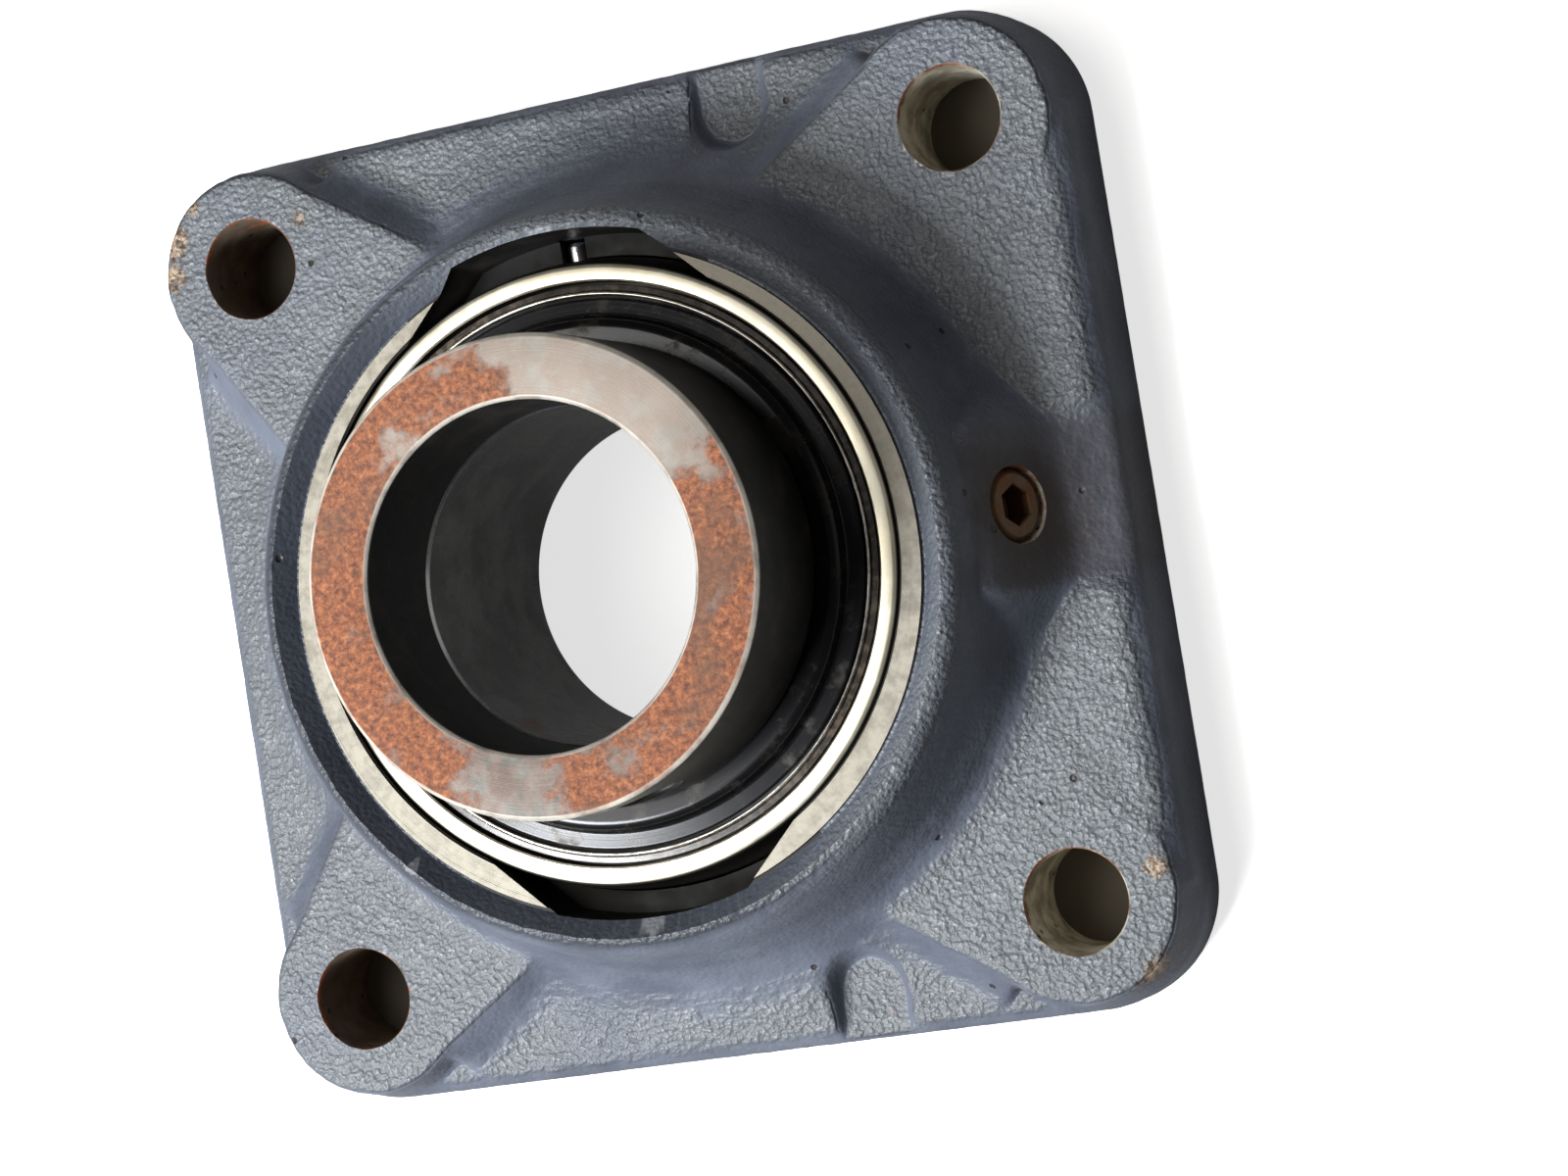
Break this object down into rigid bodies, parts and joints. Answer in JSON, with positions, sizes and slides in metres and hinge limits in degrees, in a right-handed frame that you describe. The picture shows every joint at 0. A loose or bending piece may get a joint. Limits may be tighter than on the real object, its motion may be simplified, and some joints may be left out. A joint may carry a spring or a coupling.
{
  "type": "flange mount bearing",
  "caption": "Square four-bolt cast flange with a self-aligning ball bearing, lip seals and an eccentric locking collar with a set screw for a round shaft.",
  "frame": {"origin": "on the bore axis, in the plane of the flange's mounting face", "axes": "+Z out of the front of the bearing along the shaft, +X toward the grease plug, +Y toward the anti-rotation pin"},
  "size_m": [0.137, 0.137, 0.057],
  "materials": {
    "cast_paint": "rough sand casting under dark slate-blue paint, worn to grey",
    "plug_steel": "rusty bronze-brown plug steel",
    "ring_steel": "ground bearing steel",
    "bore_steel": "dark satin turned steel",
    "rusty_collar": "turned steel with a film of rust",
    "black_steel": "black oxide",
    "shield_steel": "dull pressed sheet, dirty",
    "seal_rubber": "black nitrile rubber",
    "ball_steel": "polished balls",
    "cage_steel": "pressed sheet"
  },
  "bodies": {
    "housing_body": {"housing": "cast_paint", "grease_plug": "plug_steel"},
    "pin_body": {"anti_rotation_pin": "ring_steel"},
    "outer_body": {"outer_ring": "ring_steel", "front_seal": "seal_rubber", "rear_seal": "seal_rubber", "front_shield": "shield_steel", "rear_shield": "shield_steel"},
    "inner_body": {"inner_ring": "bore_steel", "front_thrower": "black_steel", "rear_thrower": "black_steel"},
    "collar_body": {"locking_collar": "rusty_collar"},
    "screw_body": {"collar_set_screw": "black_steel"},
    "cage_body": {"cage_front": "cage_steel", "cage_rear": "cage_steel", "cage_rivet_1": "cage_steel", "cage_rivet_2": "cage_steel", "cage_rivet_3": "cage_steel", "cage_rivet_4": "cage_steel", "cage_rivet_5": "cage_steel", "cage_rivet_6": "cage_steel", "cage_rivet_7": "cage_steel", "cage_rivet_8": "cage_steel", "cage_rivet_9": "cage_steel"},
    "ball_body_1": {"ball_1": "ball_steel"},
    "ball_body_2": {"ball_2": "ball_steel"},
    "ball_body_3": {"ball_3": "ball_steel"},
    "ball_body_4": {"ball_4": "ball_steel"},
    "ball_body_5": {"ball_5": "ball_steel"},
    "ball_body_6": {"ball_6": "ball_steel"},
    "ball_body_7": {"ball_7": "ball_steel"},
    "ball_body_8": {"ball_8": "ball_steel"},
    "ball_body_9": {"ball_9": "ball_steel"}
  },
  "joints": [
    {"name": "align_x", "type": "hinge", "parent": "housing_body", "child": "pin_body", "pos_m": [0, 0, 0.022], "axis": [1, 0, 0], "range_deg": [-2, 2]},
    {"name": "align_y", "type": "hinge", "parent": "pin_body", "child": "outer_body", "pos_m": [0, 0, 0.022], "axis": [0, 1, 0], "range_deg": [-2, 2]},
    {"name": "shaft_spin", "type": "hinge", "parent": "outer_body", "child": "inner_body", "pos_m": [0, 0, 0.022], "axis": [0, 0, 1], "continuous": true},
    {"name": "cage_orbit", "type": "hinge", "parent": "outer_body", "child": "cage_body", "pos_m": [0, 0, 0.022], "axis": [0, 0, 1], "continuous": true},
    {"name": "collar_lock", "type": "hinge", "parent": "inner_body", "child": "collar_body", "pos_m": [0, 0, 0.047], "axis": [0, 0, 1], "range_deg": [-14, 14]},
    {"name": "set_screw_travel", "type": "slide", "parent": "collar_body", "child": "screw_body", "axis": [-0.2588, 0.9659, 0], "range_m": [-0.004, 0.0008]},
    {"name": "ball_1_spin", "type": "hinge", "parent": "cage_body", "child": "ball_body_1", "pos_m": [0.0325, 0, 0.022], "axis": [0, 0, 1], "continuous": true},
    {"name": "ball_2_spin", "type": "hinge", "parent": "cage_body", "child": "ball_body_2", "pos_m": [0.0249, 0.02089, 0.022], "axis": [0, 0, 1], "continuous": true},
    {"name": "ball_3_spin", "type": "hinge", "parent": "cage_body", "child": "ball_body_3", "pos_m": [0.00564, 0.03201, 0.022], "axis": [0, 0, 1], "continuous": true},
    {"name": "ball_4_spin", "type": "hinge", "parent": "cage_body", "child": "ball_body_4", "pos_m": [-0.01625, 0.02815, 0.022], "axis": [0, 0, 1], "continuous": true},
    {"name": "ball_5_spin", "type": "hinge", "parent": "cage_body", "child": "ball_body_5", "pos_m": [-0.03054, 0.01112, 0.022], "axis": [0, 0, 1], "continuous": true},
    {"name": "ball_6_spin", "type": "hinge", "parent": "cage_body", "child": "ball_body_6", "pos_m": [-0.03054, -0.01112, 0.022], "axis": [0, 0, 1], "continuous": true},
    {"name": "ball_7_spin", "type": "hinge", "parent": "cage_body", "child": "ball_body_7", "pos_m": [-0.01625, -0.02815, 0.022], "axis": [0, 0, 1], "continuous": true},
    {"name": "ball_8_spin", "type": "hinge", "parent": "cage_body", "child": "ball_body_8", "pos_m": [0.00564, -0.03201, 0.022], "axis": [0, 0, 1], "continuous": true},
    {"name": "ball_9_spin", "type": "hinge", "parent": "cage_body", "child": "ball_body_9", "pos_m": [0.0249, -0.02089, 0.022], "axis": [0, 0, 1], "continuous": true}
  ],
  "couplings": [
    {"joint": "cage_orbit", "follows": "shaft_spin", "ratio": 0.402},
    {"joint": "ball_1_spin", "follows": "shaft_spin", "ratio": -2.461},
    {"joint": "ball_2_spin", "follows": "shaft_spin", "ratio": -2.461},
    {"joint": "ball_3_spin", "follows": "shaft_spin", "ratio": -2.461},
    {"joint": "ball_4_spin", "follows": "shaft_spin", "ratio": -2.461},
    {"joint": "ball_5_spin", "follows": "shaft_spin", "ratio": -2.461},
    {"joint": "ball_6_spin", "follows": "shaft_spin", "ratio": -2.461},
    {"joint": "ball_7_spin", "follows": "shaft_spin", "ratio": -2.461},
    {"joint": "ball_8_spin", "follows": "shaft_spin", "ratio": -2.461},
    {"joint": "ball_9_spin", "follows": "shaft_spin", "ratio": -2.461}
  ]
}
